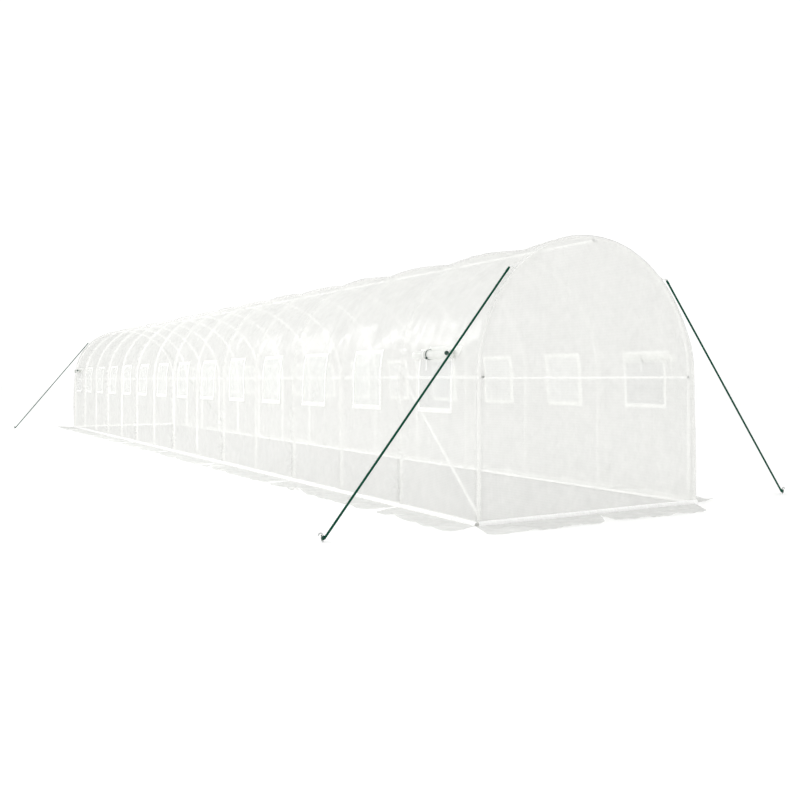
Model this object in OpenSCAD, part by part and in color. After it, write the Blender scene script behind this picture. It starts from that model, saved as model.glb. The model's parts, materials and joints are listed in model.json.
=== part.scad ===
// Polytunnel greenhouse: a row of tube hoops under a translucent sheet cover, held down by guy ropes.
// Millimetres. X runs across the tunnel, Y along it with the front end at -Y, and Z up from the ground.

/* [Hoops] */
// Distance from one hoop to the next, centre to centre
bay_len = 1000; // [800:10:1200]
// Half the distance between a hoop's legs, centre to centre, and so the radius of its arch
hoop_half_w = 1000; // [900:10:1200]
// Height of the straight legs, and of the side bars that run along their tops
leg_h = 980; // [900:10:1100]
// Diameter of the hoop tubes and the base rails
tube_d = 25; // [20:1:32]

/* [Bars] */
// Diameter of the ridge bar, the side bars and the brace
bar_d = 19; // [14:1:22]
// Thickness of the plugs that close the ends of the bars
plug_t = 5; // [3:0.5:8]

/* [Cover] */
// Thickness of the sheet
sheet_t = 3; // [2:0.5:4]
// Room between the legs and the side walls of the cover
wall_slack = 30; // [10:1:60]
// Angle above the springing line where the side walls end and the roof starts
wall_angle = 20; // [18:1:28]
// Width of the skirts that lie on the ground outside the ends
skirt_w = 340; // [200:5:400]
// Width of the skirts that lie on the ground along the sides
side_skirt_w = 285; // [200:5:400]
// How far the outer edges of the skirts flare past the corners of the cover
skirt_overrun = 130; // [50:5:200]
// How far the outer edge of an end skirt's piece stops short at its slanted end
skirt_slant = 250; // [50:5:300]
// How far the outer edge of a side skirt's piece stops short at its slanted end
side_skirt_slant = 150; // [50:5:300]
// How far the outer edge of an end skirt's second piece leans back over the notch between the two
notch_lean = 110; // [20:5:150]

/* [Windows] */
// Width of a window opening
window_w = 400; // [300:5:460]
// Height of a window opening
window_h = 400; // [250:5:420]
// Height of the openings' lower edge from the tops of the legs, which is negative below them
window_z = -215; // [-300:5:-180]
// How far a flap laps over the wall all round its opening
flap_lap = 38; // [20:1:60]
// Thickness of the insect mesh
mesh_t = 1; // [0.5:0.1:2]
// Diameter of a rolled-up flap
roll_d = 65; // [40:1:80]
// Length of a rolled-up flap
roll_len = 600; // [500:5:700]
// Drop from the top edge of a flap to the middle of its roll
roll_drop = 58; // [40:1:80]

/* [Guy ropes] */
// Diameter of the ropes
rope_d = 16; // [6:1:18]
// Gap between a rope and the smooth cover where it passes closest, for the loose sheet to swell into
rope_gap = 16; // [10:1:60]
// Distance from a leg's centre line out to the foot of its rope
rope_reach = 1130; // [800:10:1400]
// Height above the ground where the rope is tied to its peg
rope_foot_z = 20; // [14:1:30]
// Length of rope that runs on up from the point where it passes closest to the cover
rope_tail = 150; // [50:5:250]
// Diameter of the short loops that tie the upper ends of the ropes to the cover
loop_d = 8; // [5:0.5:12]
// Diameter of the peg rods
peg_d = 9; // [6:0.5:12]
// Height of the straight part of the pegs above the ground
peg_h = 40; // [30:1:60]
// Radius of the hooks on the pegs, to the middle of the rod
hook_r = 14; // [10:1:20]

/* [Hidden] */
// Bays along the tunnel: a hoop stands at each end of every bay
bay_count = 14;
// Bays between the sewn joints of the cover, after a single bay at each end
joint_step = 2;
// Bent tubes in each arch
arch_pieces = 4;
// Strips of sheet across the roof
roof_strips = 5;
// Gap between pieces that rest against each other
seat = 0.3;
// Facets on curves that are drawn as true rounds
round_fn = 96;

tube_r = tube_d / 2;
bar_r = bar_d / 2;
tunnel_half = bay_count * bay_len / 2;
bar_inset = tube_r + seat + bar_r;
bar_half = tunnel_half + tube_r - seat - plug_t;

// The cover touches the hoops along the ridge and hangs clear of their legs
cover_r = hoop_half_w + tube_r + wall_slack;
spring_z = leg_h + hoop_half_w + tube_r + seat - cover_r;
cover_half = tunnel_half + tube_r + seat;
wall_out = cover_r + sheet_t;
half_seam_angle = seat / cover_r * 90 / PI;
roof_strip_angle = (180 - 2 * wall_angle) / roof_strips;
far_r = 2 * cover_r;

// The windows and their flaps move up and down with the tops of the legs
sill_z = leg_h + window_z;

// Each rolled-up flap lies against the outside of the wall
roll_z = sill_z + window_h + flap_lap - roll_drop;
roll_angle = asin((roll_z - spring_z) / wall_out);
roll_centre_r = wall_out + seat + roll_d / 2;
roll_x = roll_centre_r * cos(roll_angle);
roll_axis_z = spring_z + roll_centre_r * sin(roll_angle);

// Each rope leaves its foot, passes just clear of the shoulder of the cover and runs on by its tail
rope_foot_x = hoop_half_w + rope_reach;
rope_pass_r = wall_out + rope_gap + rope_d / 2;
foot_from_spring = [rope_foot_x, rope_foot_z - spring_z];
foot_distance = norm(foot_from_spring);
rope_lean = atan2(foot_from_spring[1], foot_from_spring[0]) + acos(rope_pass_r / foot_distance);
rope_len = sqrt(pow(foot_distance, 2) - pow(rope_pass_r, 2)) + rope_tail;
peg_x = rope_foot_x + rope_d / 2 * cos(rope_lean) + seat + peg_d / 2;

// Each loop lies over the upper end of its rope and runs level in to the cover
loop_out_x = rope_foot_x - rope_len * sin(rope_lean) + rope_d / 2 * cos(rope_lean) + loop_d / 2;
loop_z = rope_foot_z + rope_len * cos(rope_lean) + rope_d / 2 * sin(rope_lean) + seat + loop_d / 2;
loop_in_x = sqrt(pow(wall_out, 2) - pow(loop_z - spring_z, 2)) - loop_d;

function hoop_y(i) = -tunnel_half + i * bay_len;
function bay_y(i) = hoop_y(i) + bay_len / 2;
function hoop_name(i) = i == 0 ? "front_hoop" : i == bay_count ? "back_hoop" : str("hoop_", i + 1);

// Places along Y where one side skirt piece ends and the next starts
skirt_joints = concat(
    [-cover_half],
    [for (i = [1 : joint_step : bay_count - 1]) hoop_y(i)],
    [cover_half]
);
last_skirt = len(skirt_joints) - 2;

frame_white = "whitesmoke";
sheet_white = "ghostwhite";
mesh_white = "gainsboro";
rope_green = "darkgreen";
peg_grey = "darkgray";
plug_dark = "dimgray";

HOOP_NODES = [for (i = [0 : bay_count]) hoop_name(i)];
OTHER_NODES = [
    "ridge_bar", "left_side_bar", "right_side_bar", "bar_end_plugs",
    "left_base_rail", "right_base_rail", "front_base_rail", "back_base_rail", "left_front_brace",
    "left_wall_cover", "right_wall_cover", "roof_cover", "front_end_cover", "back_end_cover",
    "left_skirt", "right_skirt", "front_skirt", "back_skirt",
    "left_window_mesh", "right_window_mesh",
    "left_window_flaps", "right_window_flaps", "rolled_window_flaps",
    "left_front_rope", "right_front_rope", "left_back_rope", "right_back_rope", "rope_loops", "ground_pegs"
];

// A piece drawn for the right side, moved to the left side
module on_left() {
    mirror([1, 0, 0]) children();
}

// A piece drawn for the front end, moved to the back end by a half turn
module on_back() {
    rotate([0, 0, 180]) children();
}

// Extrudes an outline drawn in X and Z along Y, the same length each way
module along_y(half_len) {
    rotate([90, 0, 0]) linear_extrude(height = 2 * half_len, center = true) children();
}

// One hoop: two straight legs and an arch of bent tubes, butted end to end
module hoop(y) {
    piece_angle = 180 / arch_pieces;
    half_joint_angle = seat / hoop_half_w * 90 / PI;
    color(frame_white) translate([0, y, 0]) {
        for (side = [-1, 1])
            translate([side * hoop_half_w, 0, 0]) cylinder(d = tube_d, h = leg_h - seat, $fn = round_fn);
        for (i = [0 : arch_pieces - 1])
            translate([0, 0, leg_h]) rotate([90, 0, 0])
                rotate([0, 0, i * piece_angle + half_joint_angle])
                    rotate_extrude(angle = piece_angle - 2 * half_joint_angle, $fn = round_fn)
                        translate([hoop_half_w, 0]) circle(d = tube_d, $fn = round_fn);
    }
}

// A straight rod along Y, centred on the middle of the tunnel
module long_bar() {
    rotate([90, 0, 0]) cylinder(d = bar_d, h = 2 * bar_half, center = true, $fn = round_fn);
}

// Puts a bar, or what belongs to it, just under the top of the arches
module at_ridge() {
    translate([0, 0, leg_h + hoop_half_w - bar_inset]) children();
}

// Puts a bar, or what belongs to it, just inside the tops of the right legs
module at_right_side() {
    translate([hoop_half_w - bar_inset, 0, leg_h]) children();
}

module ridge_bar() {
    color(frame_white) at_ridge() long_bar();
}

module right_side_bar() {
    color(frame_white) at_right_side() long_bar();
}

module left_side_bar() {
    on_left() right_side_bar();
}

// The plugs at both ends of one bar
module plug_pair() {
    for (end = [-1, 1])
        translate([0, end * (bar_half + plug_t / 2), 0]) rotate([90, 0, 0])
            cylinder(d = bar_d, h = plug_t, center = true, $fn = round_fn);
}

module bar_end_plugs() {
    color(plug_dark) {
        at_ridge() plug_pair();
        at_right_side() plug_pair();
        on_left() at_right_side() plug_pair();
    }
}

// The tubes on the ground between the feet of one row of legs
module right_base_rail() {
    rail_len = bay_len - tube_d - 2 * seat;
    color(frame_white)
        for (i = [0 : bay_count - 1])
            translate([hoop_half_w, bay_y(i), tube_r]) rotate([90, 0, 0])
                cylinder(d = tube_d, h = rail_len, center = true, $fn = round_fn);
}

module left_base_rail() {
    on_left() right_base_rail();
}

module front_base_rail() {
    rail_len = 2 * hoop_half_w - tube_d - 2 * seat;
    color(frame_white)
        translate([0, -tunnel_half, tube_r]) rotate([0, 90, 0])
            cylinder(d = tube_d, h = rail_len, center = true, $fn = round_fn);
}

module back_base_rail() {
    on_back() front_base_rail();
}

// The slanted tube of the first bay, from the foot of the front hoop up to the side bar at the next hoop
module left_front_brace() {
    foot_z = bar_d;
    rise = leg_h - bar_d - foot_z;
    slope = atan2(rise, bay_len);
    color(frame_white)
        translate([-(hoop_half_w - bar_inset), -tunnel_half, foot_z]) rotate([slope - 90, 0, 0])
            cylinder(d = bar_d, h = norm([rise, bay_len]), $fn = round_fn);
}

// The cover's cross-section, grown outwards by an amount and run on below the ground line by another
module cover_outline(grow, below) {
    arch_r = cover_r + grow;
    intersection() {
        translate([0, spring_z]) circle(r = arch_r, $fn = round_fn);
        translate([-arch_r, spring_z]) square([2 * arch_r, arch_r]);
    }
    translate([-arch_r, -below]) square([2 * arch_r, spring_z + below]);
}

// The cross-section of a skin that follows the cover, between two distances out from its inner face
module skin(inner, outer) {
    difference() {
        cover_outline(outer, 0);
        cover_outline(inner, sheet_t);
    }
}

// The right-hand part of the cross-section, from the ground up to the roof
module wall_zone() {
    top = wall_angle - half_seam_angle;
    polygon([
        [0, -sheet_t],
        [far_r, -sheet_t],
        [far_r * cos(top), spring_z + far_r * sin(top)],
        [0, spring_z]
    ]);
}

// The part of the cross-section that one roof strip takes up
module strip_zone(i) {
    low = wall_angle + i * roof_strip_angle + half_seam_angle;
    high = wall_angle + (i + 1) * roof_strip_angle - half_seam_angle;
    translate([0, spring_z])
        polygon([[0, 0], far_r * [cos(low), sin(low)], far_r * [cos(high), sin(high)]]);
}

// Blocks that cross the right wall at the windows of the given bays, larger than the openings by a lap
module window_blocks(bays, lap) {
    block = [cover_r, window_w + 2 * lap, window_h + 2 * lap];
    for (i = bays)
        translate([cover_r, bay_y(i), sill_z + window_h / 2]) cube(block, center = true);
}

module right_wall_cover() {
    color(sheet_white)
        difference() {
            along_y(cover_half)
                intersection() {
                    skin(0, sheet_t);
                    wall_zone();
                }
            window_blocks([0 : bay_count - 1], 0);
        }
}

module left_wall_cover() {
    on_left() right_wall_cover();
}

module roof_cover() {
    color(sheet_white)
        for (i = [0 : roof_strips - 1])
            along_y(cover_half)
                intersection() {
                    skin(0, sheet_t);
                    strip_zone(i);
                }
}

module front_end_cover() {
    color(sheet_white)
        translate([0, -cover_half - sheet_t / 2, 0]) along_y(sheet_t / 2) cover_outline(sheet_t, 0);
}

module back_end_cover() {
    on_back() front_end_cover();
}

// One skirt piece, from the wall outwards along +Y. Its outer edge stops short at each end by a slant.
module skirt_piece(start, finish, width, start_slant, finish_slant) {
    linear_extrude(height = sheet_t)
        polygon([
            [start + seat / 2, 0],
            [finish - seat / 2, 0],
            [finish - seat / 2 - finish_slant, width],
            [start + seat / 2 + start_slant, width]
        ]);
}

module left_skirt() {
    color(sheet_white)
        for (i = [0 : last_skirt])
            translate([-wall_out, 0, 0]) rotate([0, 0, 90])
                skirt_piece(
                    skirt_joints[i],
                    skirt_joints[i + 1],
                    side_skirt_w,
                    i == 0 ? -skirt_overrun : 0,
                    i == last_skirt ? -skirt_overrun : side_skirt_slant
                );
}

module right_skirt() {
    on_left() left_skirt();
}

// Two pieces that meet at the middle of the end wall, with a notch between their outer edges
module front_skirt() {
    color(sheet_white)
        translate([0, -cover_half - sheet_t, 0]) mirror([0, 1, 0]) {
            skirt_piece(-wall_out, 0, skirt_w, -skirt_overrun, skirt_slant);
            skirt_piece(0, wall_out, skirt_w, -notch_lean, skirt_slant);
        }
}

module back_skirt() {
    on_back() front_skirt();
}

module right_window_mesh() {
    mesh_in = (sheet_t - mesh_t) / 2;
    color(mesh_white)
        intersection() {
            along_y(cover_half) skin(mesh_in, mesh_in + mesh_t);
            window_blocks([0 : bay_count - 1], -seat);
        }
}

module left_window_mesh() {
    on_left() right_window_mesh();
}

// The flaps that hang closed: those of every bay but the first and the last
module right_window_flaps() {
    flap_in = sheet_t + seat;
    color(sheet_white)
        intersection() {
            along_y(cover_half) skin(flap_in, flap_in + sheet_t);
            window_blocks([1 : bay_count - 2], flap_lap);
        }
}

module left_window_flaps() {
    on_left() right_window_flaps();
}

module rolled_window_flaps() {
    color(sheet_white)
        for (side = [-1, 1], i = [0, bay_count - 1])
            translate([side * roll_x, bay_y(i), roll_axis_z]) rotate([90, 0, 0])
                cylinder(d = roll_d, h = roll_len, center = true, $fn = round_fn);
}

module right_front_rope() {
    color(rope_green)
        translate([rope_foot_x, -tunnel_half, rope_foot_z]) rotate([0, -rope_lean, 0])
            cylinder(d = rope_d, h = rope_len, $fn = round_fn);
}

module left_front_rope() {
    on_left() right_front_rope();
}

module left_back_rope() {
    on_back() right_front_rope();
}

module right_back_rope() {
    on_back() left_front_rope();
}

module right_front_loop() {
    difference() {
        translate([loop_in_x, -tunnel_half, loop_z]) rotate([0, 90, 0])
            cylinder(d = loop_d, h = loop_out_x - loop_in_x, $fn = round_fn);
        along_y(cover_half) cover_outline(sheet_t + seat, 0);
    }
}

module rope_loops() {
    color(mesh_white) {
        right_front_loop();
        on_left() right_front_loop();
        on_back() right_front_loop();
        on_back() on_left() right_front_loop();
    }
}

// The part of one peg that stands out of the ground: a straight rod with a hook that turns outwards
module peg() {
    cylinder(d = peg_d, h = peg_h, $fn = round_fn);
    translate([hook_r, 0, peg_h]) rotate([90, 0, 0])
        rotate_extrude(angle = 180, $fn = round_fn)
            translate([hook_r, 0]) circle(d = peg_d, $fn = round_fn);
}

module ground_pegs() {
    color(peg_grey)
        for (side = [0, 1], end = [-1, 1])
            mirror([side, 0, 0]) translate([peg_x, end * tunnel_half, 0]) peg();
}

for (i = [0 : bay_count])
    hoop(hoop_y(i));
ridge_bar();
left_side_bar();
right_side_bar();
bar_end_plugs();
left_base_rail();
right_base_rail();
front_base_rail();
back_base_rail();
left_front_brace();
left_wall_cover();
right_wall_cover();
roof_cover();
front_end_cover();
back_end_cover();
left_skirt();
right_skirt();
front_skirt();
back_skirt();
left_window_mesh();
right_window_mesh();
left_window_flaps();
right_window_flaps();
rolled_window_flaps();
left_front_rope();
right_front_rope();
left_back_rope();
right_back_rope();
rope_loops();
ground_pegs();
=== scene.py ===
"""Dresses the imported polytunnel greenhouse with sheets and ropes, and adds the light and the camera."""
import json
import math
from functools import partial

import bpy
import numpy as np
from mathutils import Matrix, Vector


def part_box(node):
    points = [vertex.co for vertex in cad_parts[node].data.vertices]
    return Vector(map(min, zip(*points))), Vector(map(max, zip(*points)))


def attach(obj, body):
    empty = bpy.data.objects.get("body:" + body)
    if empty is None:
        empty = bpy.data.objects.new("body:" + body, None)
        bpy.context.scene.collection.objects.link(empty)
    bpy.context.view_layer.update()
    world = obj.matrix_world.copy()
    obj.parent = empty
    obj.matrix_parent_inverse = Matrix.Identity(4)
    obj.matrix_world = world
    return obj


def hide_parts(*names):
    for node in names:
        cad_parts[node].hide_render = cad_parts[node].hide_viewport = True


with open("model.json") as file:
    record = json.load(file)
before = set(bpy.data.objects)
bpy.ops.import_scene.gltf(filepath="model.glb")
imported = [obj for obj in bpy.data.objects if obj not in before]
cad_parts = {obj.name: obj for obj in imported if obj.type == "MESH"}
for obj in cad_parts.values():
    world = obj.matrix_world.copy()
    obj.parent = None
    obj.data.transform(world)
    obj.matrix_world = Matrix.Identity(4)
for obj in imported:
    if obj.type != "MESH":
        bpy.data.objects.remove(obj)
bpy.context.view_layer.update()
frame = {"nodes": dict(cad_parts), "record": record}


def rope_line(node):
    """The foot, the top and the radius of a straight rope, worked out from its box."""
    low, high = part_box(node)
    radius = (high.y - low.y) / 2
    wide, tall = high.x - low.x, high.z - low.z
    run, rise = wide, tall
    # What the radius adds to the box depends on the rope's slope, so a few rounds find both
    for _ in range(8):
        length = math.hypot(run, rise)
        run, rise = wide - 2 * radius * rise / length, tall - 2 * radius * run / length
    sign = 1 if high.x > -low.x else -1
    outer = max(high.x, -low.x) - radius * rise / math.hypot(run, rise)
    foot = np.array([sign * outer, (low.y + high.y) / 2, low.z + radius * run / math.hypot(run, rise)])
    top = foot + np.array([-sign * run, 0, rise])
    return foot, top, radius


# Sizes in metres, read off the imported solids
nodes = frame["nodes"]
hoop_names = sorted((n for n in nodes if "hoop" in n), key=lambda n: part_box(n)[0].y)
hoop_y = [(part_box(n)[0].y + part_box(n)[1].y) / 2 for n in hoop_names]
bay_count = len(hoop_y) - 1
bay_len = hoop_y[1] - hoop_y[0]
bay_mid = [y + bay_len / 2 for y in hoop_y[:-1]]
end_low, end_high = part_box("front_end_cover")
wall_x = end_high.x
spring_z = end_high.z - wall_x
front_y = end_high.y
back_y = -front_y
girth_len = 2 * spring_z + math.pi * wall_x
mesh_low, mesh_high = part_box("left_window_mesh")
window_half = bay_mid[0] - mesh_low.y
sill_z = mesh_low.z
head_z = mesh_high.z
flap_lap = sill_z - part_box("left_window_flaps")[0].z
roll_low, roll_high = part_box("rolled_window_flaps")
roll_r = (roll_high.z - roll_low.z) / 2
roll_x = roll_high.x - roll_r
roll_z = roll_low.z + roll_r
roll_half = bay_mid[0] - roll_low.y
side_skirt_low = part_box("left_skirt")[0]
front_skirt_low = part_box("front_skirt")[0]

# Sizes that only the dressed model has
cell = 0.025
frame_cell = 0.018
roll_cell = 0.015
end_columns = 85
joint_step = 2
crown_sag = 0.024
haunch_sag = 0.030
shoulder_sag = 0.020
left_pull = 0.019
left_rebound = 0.004
right_pull = 0.006
right_loose = 0.024
deepest_in = 0.029
wall_bulge = 0.014
wall_ripple = 0.006
wall_crease = 0.0016
joint_pucker = 0.0045
film_crease = 0.0012
foot_fold = 0.011
foot_fold_z = 0.17
rope_clear = 0.003
end_rounding = 0.011
end_belly = 0.010
end_ripple = 0.006
end_fold = 0.003
seam_half = 0.024
seam_crown = 0.0015
tape_w = 0.024
tape_foot_w = 0.034
hem_w = 0.026
hem_foot_w = 0.036
hem_crown_gap = 0.03
crown_gap = 0.006
sheet_gap = 0.0015
netting_lap = 0.01
flap_gap = 0.0055
flap_swell = 0.007
flap_flutter = 0.004
skirt_flare = 0.13
side_skirt_slant = 0.15
end_skirt_slant = 0.25
notch_lean = 0.11
roll_turns = 3.4
roll_size = 1.08
roll_settles = 0.012
roll_short = 0.10
tie_reach = 0.035
tie_squeeze = 0.10
toggle_tie = -0.267
band_tie = 0.055
toggle_r = 0.0155
toggle_angle = -6
# The dark cord and knot beside the second tie are a painted shadow of that tie, made as solids
shadow_cord_r = 0.0019
shadow_cord_past_tie = -0.044
shadow_knot_r = 0.0085
shadow_knot_past_tie = -0.048
shadow_knot_angle = -48
tie_across = np.array([-0.007, -0.003, 0.003, 0.007])
tie_tail = 0.075
skirt_corner = 0.055
skirt_cell = 0.03
skirt_tuck = 0.003
skirt_split = 0.004
right_front_slant = 0.02
end_skirt_overlap = 0.04
peg_coil_z = 0.026
coil_rise = 0.026
whip_down = 0.030
loop_r = 0.0035
loop_half = 0.005
loop_sag = 0.010
foot_seam_out = 0.020
foot_seam_h = {"left": 0.026, "right": 0.016, "front": 0.031, "back": 0.031}
rope_end_short = 0.024
corners = ("left_front", "right_front", "left_back", "right_back")

# How bright the room is, how much of that is left of the room and the floor seen through the sheet,
# and how much of the room's light is left where it is mirrored, as beside dark screens in a studio
room_light = 1.10
room_through = 0.46
room_mirrored = 0.55
floor_through_one = 0.60

# Where the camera stands, and the small panels that the near wall mirrors to it
camera_spot = (-4.38, -11.67, 0.96)
glint_share = 0.73
glint_reach = 4.0
glint_facing = (-0.938, -0.056, 0.345)
glint_x = -0.96
glint_z = 1.295
glint_size = (0.6, 0.5)
glint_powers = (9.5, 8.0, 4.0, 4.0)

# Where a rope passes closest to the shoulder: how far from the middle of the arch, and how far round it
rope_foot, rope_top, rope_r = rope_line("right_front_rope")
rope_lean = (rope_foot[0] - rope_top[0]) / (rope_top[2] - rope_foot[2])
rope_turn = math.atan(rope_lean)
rope_off = rope_foot[0] + rope_lean * (rope_foot[2] - spring_z)
rope_pass_r = rope_off * math.cos(rope_turn) - rope_r

# The cover is sewn from lengths that meet at every second hoop, after a single bay at each end
joint_y = [hoop_y[i] for i in range(1, bay_count, joint_step)]
section_ends = [front_y] + joint_y + [back_y]


# Shapes

def smooth(low, high, value):
    """Rises from 0 at low to 1 at high, with no corner at either."""
    t = np.clip((np.asarray(value) - low) / (high - low), 0, 1)
    return t * t * (3 - 2 * t)


def hump(middle, width, value):
    """A smooth bump of height 1 round the middle."""
    return np.exp(-((np.asarray(value) - middle) / width) ** 2)


def ripple(u, v, seed, shortest, longest, count=14):
    """Repeatable smooth noise of about -1 to 1: a sum of waves with random lengths and directions."""
    rng = np.random.default_rng(seed)
    total = 0
    for _ in range(count):
        length = rng.uniform(shortest, longest)
        heading = rng.uniform(0, math.pi)
        phase = rng.uniform(0, 2 * math.pi)
        way = u * math.cos(heading) + v * math.sin(heading)
        total = total + np.sin(2 * math.pi * way / length + phase)
    return total / math.sqrt(count)


def crease(u, v, seed, shortest, longest):
    """Like ripple, but with sharp folds between smooth swells."""
    return 1 - 2 * np.minimum(np.abs(ripple(u, v, seed, shortest, longest)), 1)


def steps(low, high, size):
    """Evenly spaced numbers from low to high, about a size apart."""
    return np.linspace(low, high, max(2, round((high - low) / size) + 1))


def joined_steps(marks, size):
    """Steps through every mark in turn, with each mark once."""
    runs = [steps(a, b, size)[:-1] for a, b in zip(marks[:-1], marks[1:])]
    return np.concatenate(runs + [[marks[-1]]])


def wall_girth(z):
    """The distance up the left wall, along the sheet from the ground, to a height."""
    return z if z <= spring_z else spring_z + wall_x * math.asin((z - spring_z) / wall_x)


def on_side(left_side, girth):
    """A girth on the left wall, or the one as high on the right wall."""
    return girth if left_side else girth_len - girth


def pull(girth):
    """How far the cover is drawn over: tight on the left, loose low on the right, even at the crown."""
    turn = np.clip((girth - spring_z) / wall_x, 0, math.pi)
    tight = -left_pull * (1 - smooth(0.15, 0.75, turn)) + left_rebound * hump(1.0, 0.35, turn)
    tight = tight - right_pull * smooth(math.pi - 1.15, math.pi - 0.55, turn)
    loose = right_loose * smooth(girth_len - 0.95, girth_len - 0.50, girth)
    return tight + loose


def slack(girth, y):
    """How far the loose sheet stands out from the smooth outer face of the solid cover."""
    up = np.minimum(girth, girth_len - girth)
    turn = np.clip((up - spring_z) / wall_x, 0, math.pi / 2)
    between = np.sin(math.pi * (y - hoop_y[0]) / bay_len) ** 2
    crown = hump(math.pi / 2, 0.28, turn)
    shoulder = hump(0.40, 0.16, turn)
    roof = smooth(0.35, 0.95, turn)
    wall = 1 - roof
    loose_side = smooth(0.4, 0.6, girth / girth_len)
    from_joint = np.min([np.abs(y - j) for j in joint_y], axis=0)
    joint = hump(0, 0.10, from_joint)
    out = -between * (crown_sag * crown + haunch_sag * roof * (1 - crown) + shoulder_sag * shoulder)
    bulge = 0.6 + 0.4 * ripple(y, 0.2 * up, 3, 1.2, 3.0, 6)
    out += loose_side * wall_bulge * hump(0.36, 0.22, up) * bulge
    out += wall * wall_ripple * ripple(y, 0.7 * girth, 11, 0.5, 1.4)
    out += wall * wall_crease * crease(y, 0.3 * girth, 12, 0.16, 0.45)
    out += (0.3 + 0.7 * wall) * joint_pucker * joint * ripple(0.5 * y, girth, 13, 0.06, 0.13)
    out += film_crease * (1 - 0.9 * crown) * crease(y, girth, 14, 0.14, 0.32)
    out += pinch(up, y, from_joint)
    out = np.maximum(pull(girth) + out * smooth(0, 0.10, up), -deepest_in - 0.03 * between)
    out = np.minimum(out, room_under_ropes(turn, y))
    past_hoop = np.clip((np.abs(y) - hoop_y[-1]) / (back_y - hoop_y[-1]), 0, 1)
    return out - end_rounding * past_hoop * smooth(0.1, 0.5, turn)


def room_under_ropes(turn, y):
    """How far the sheet may stand out before it meets the rope across the shoulder of an end hoop."""
    from_rope = np.minimum(np.abs(y - hoop_y[0]), np.abs(y - hoop_y[-1]))
    rope_at = rope_pass_r / np.cos(np.clip(turn - rope_turn, -1.2, 1.2))
    return rope_at - wall_x - rope_clear + 10 * from_rope ** 2


def pinch(up, y, from_joint):
    """Folds that fan out of the place near the ground where a joint of the cover is gathered."""
    reach = np.hypot(from_joint, up - foot_fold_z)
    angle = np.arctan2(up - foot_fold_z, from_joint)
    return foot_fold * np.cos(7 * angle + 3 * np.sin(5 * y)) * hump(0.06, 0.09, reach)


def cover_points(girth, y, lift=0.0):
    """Points on the sheet. girth runs along it from the ground on the left over to that on the right."""
    girth, y = np.broadcast_arrays(np.asarray(girth, float), np.asarray(y, float))
    turn = np.clip((girth - spring_z) / wall_x, 0, math.pi)
    out = wall_x + slack(girth, y) + lift
    x = -out * np.cos(turn)
    z = np.minimum(np.minimum(girth, girth_len - girth), spring_z) + out * np.sin(turn)
    return np.stack([x, y, z], -1)


def make_mesh(name, vertices, faces, uvs=None):
    """An object from points and faces, with one texture coordinate for each point, in metres."""
    mesh = bpy.data.meshes.new(name)
    mesh.from_pydata(np.asarray(vertices, float).tolist(), [], [list(map(int, f)) for f in faces])
    if uvs is not None:
        layer = mesh.uv_layers.new(name="metres")
        corner = np.zeros(len(mesh.loops), np.int32)
        mesh.loops.foreach_get("vertex_index", corner)
        layer.data.foreach_set("uv", np.asarray(uvs, np.float32)[corner].ravel())
    mesh.polygons.foreach_set("use_smooth", [True] * len(mesh.polygons))
    mesh.update()
    made = bpy.data.objects.new(name, mesh)
    bpy.context.scene.collection.objects.link(made)
    return made


class Sheets:
    """Collects grids of points, which become one object."""

    def __init__(self):
        self.points, self.faces, self.uvs, self.count = [], [], [], 0

    def grid(self, points, uvs, keep=None, loop=False):
        """Adds rows of points joined into quads.

        keep says which quads stay, and loop joins the last column to the first.
        """
        rows, columns = points.shape[:2]
        index = np.arange(rows * columns).reshape(rows, columns) + self.count
        after = np.roll(index, -1, axis=1) if loop else index[:, 1:]
        start = index if loop else index[:, :-1]
        quads = np.stack([start[:-1], after[:-1], after[1:], start[1:]], -1)
        self.faces.extend(quads[keep] if keep is not None else quads.reshape(-1, 4))
        self.points.append(points.reshape(-1, 3))
        self.uvs.append(np.broadcast_to(uvs, points.shape[:2] + (2,)).reshape(-1, 2))
        self.count += rows * columns

    def on_cover(self, girth, y, uvs, lift=0.0, keep=None):
        """Adds a grid on the cover, with a row for each girth and a column for each y."""
        self.grid(cover_points(girth[:, None], y[None, :], lift), uvs, keep)

    def cap(self, ring):
        """Closes the end of a tube, given its last ring of points."""
        self.points.append(ring)
        self.uvs.append(ring[:, :2])
        self.faces.append(np.arange(len(ring)) + self.count)
        self.count += len(ring)

    def build(self, name, material, slot):
        """Makes one object of all the grids, which rides on the only body."""
        made = make_mesh(name, np.concatenate(self.points), self.faces, np.concatenate(self.uvs))
        made.data.materials.append(material)
        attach(made, "root")
        return made


def uv_grid(u, v):
    """Texture coordinates, in metres, of a grid with one row for each u and one column for each v."""
    return np.stack(np.meshgrid(u, v, indexing="ij"), -1)


def middles(values):
    """The middle of each step in a row of numbers."""
    return (values[:-1] + values[1:]) / 2


def lengths_along(path):
    """How far along a path each of its points lies."""
    return np.concatenate([[0], np.cumsum(np.linalg.norm(np.diff(path, axis=0), axis=1))])


def unit(vectors):
    """The same directions, with a length of 1."""
    return vectors / np.linalg.norm(vectors, axis=-1, keepdims=True)


def turned(turn, first, second):
    """The directions at the angles given from a first direction towards a second."""
    return np.cos(turn)[:, None] * first + np.sin(turn)[:, None] * second


def tube(sheets, path, radius, sides=8):
    """Adds a round tube along a path of points, of one radius or one for each point."""
    path = np.asarray(path, float)
    along = unit(np.gradient(path, axis=0))
    side = np.cross(along[0], [0.0, 0.0, 1.0] if abs(along[0][2]) < 0.9 else [0.0, 1.0, 0.0])
    sides_at = []
    for direction in along:
        side = unit(side - direction * side.dot(direction))
        sides_at.append(side)
    across = np.array(sides_at)
    other = np.cross(along, across)
    turn = np.linspace(0, 2 * math.pi, sides, endpoint=False)
    radius = np.broadcast_to(radius, len(path))
    points = path[:, None] + turned(turn, across[:, None], other[:, None]) * radius[:, None, None]
    sheets.grid(points, uv_grid(lengths_along(path), turn * radius.max()), loop=True)
    sheets.cap(points[0][::-1])
    sheets.cap(points[-1])


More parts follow.
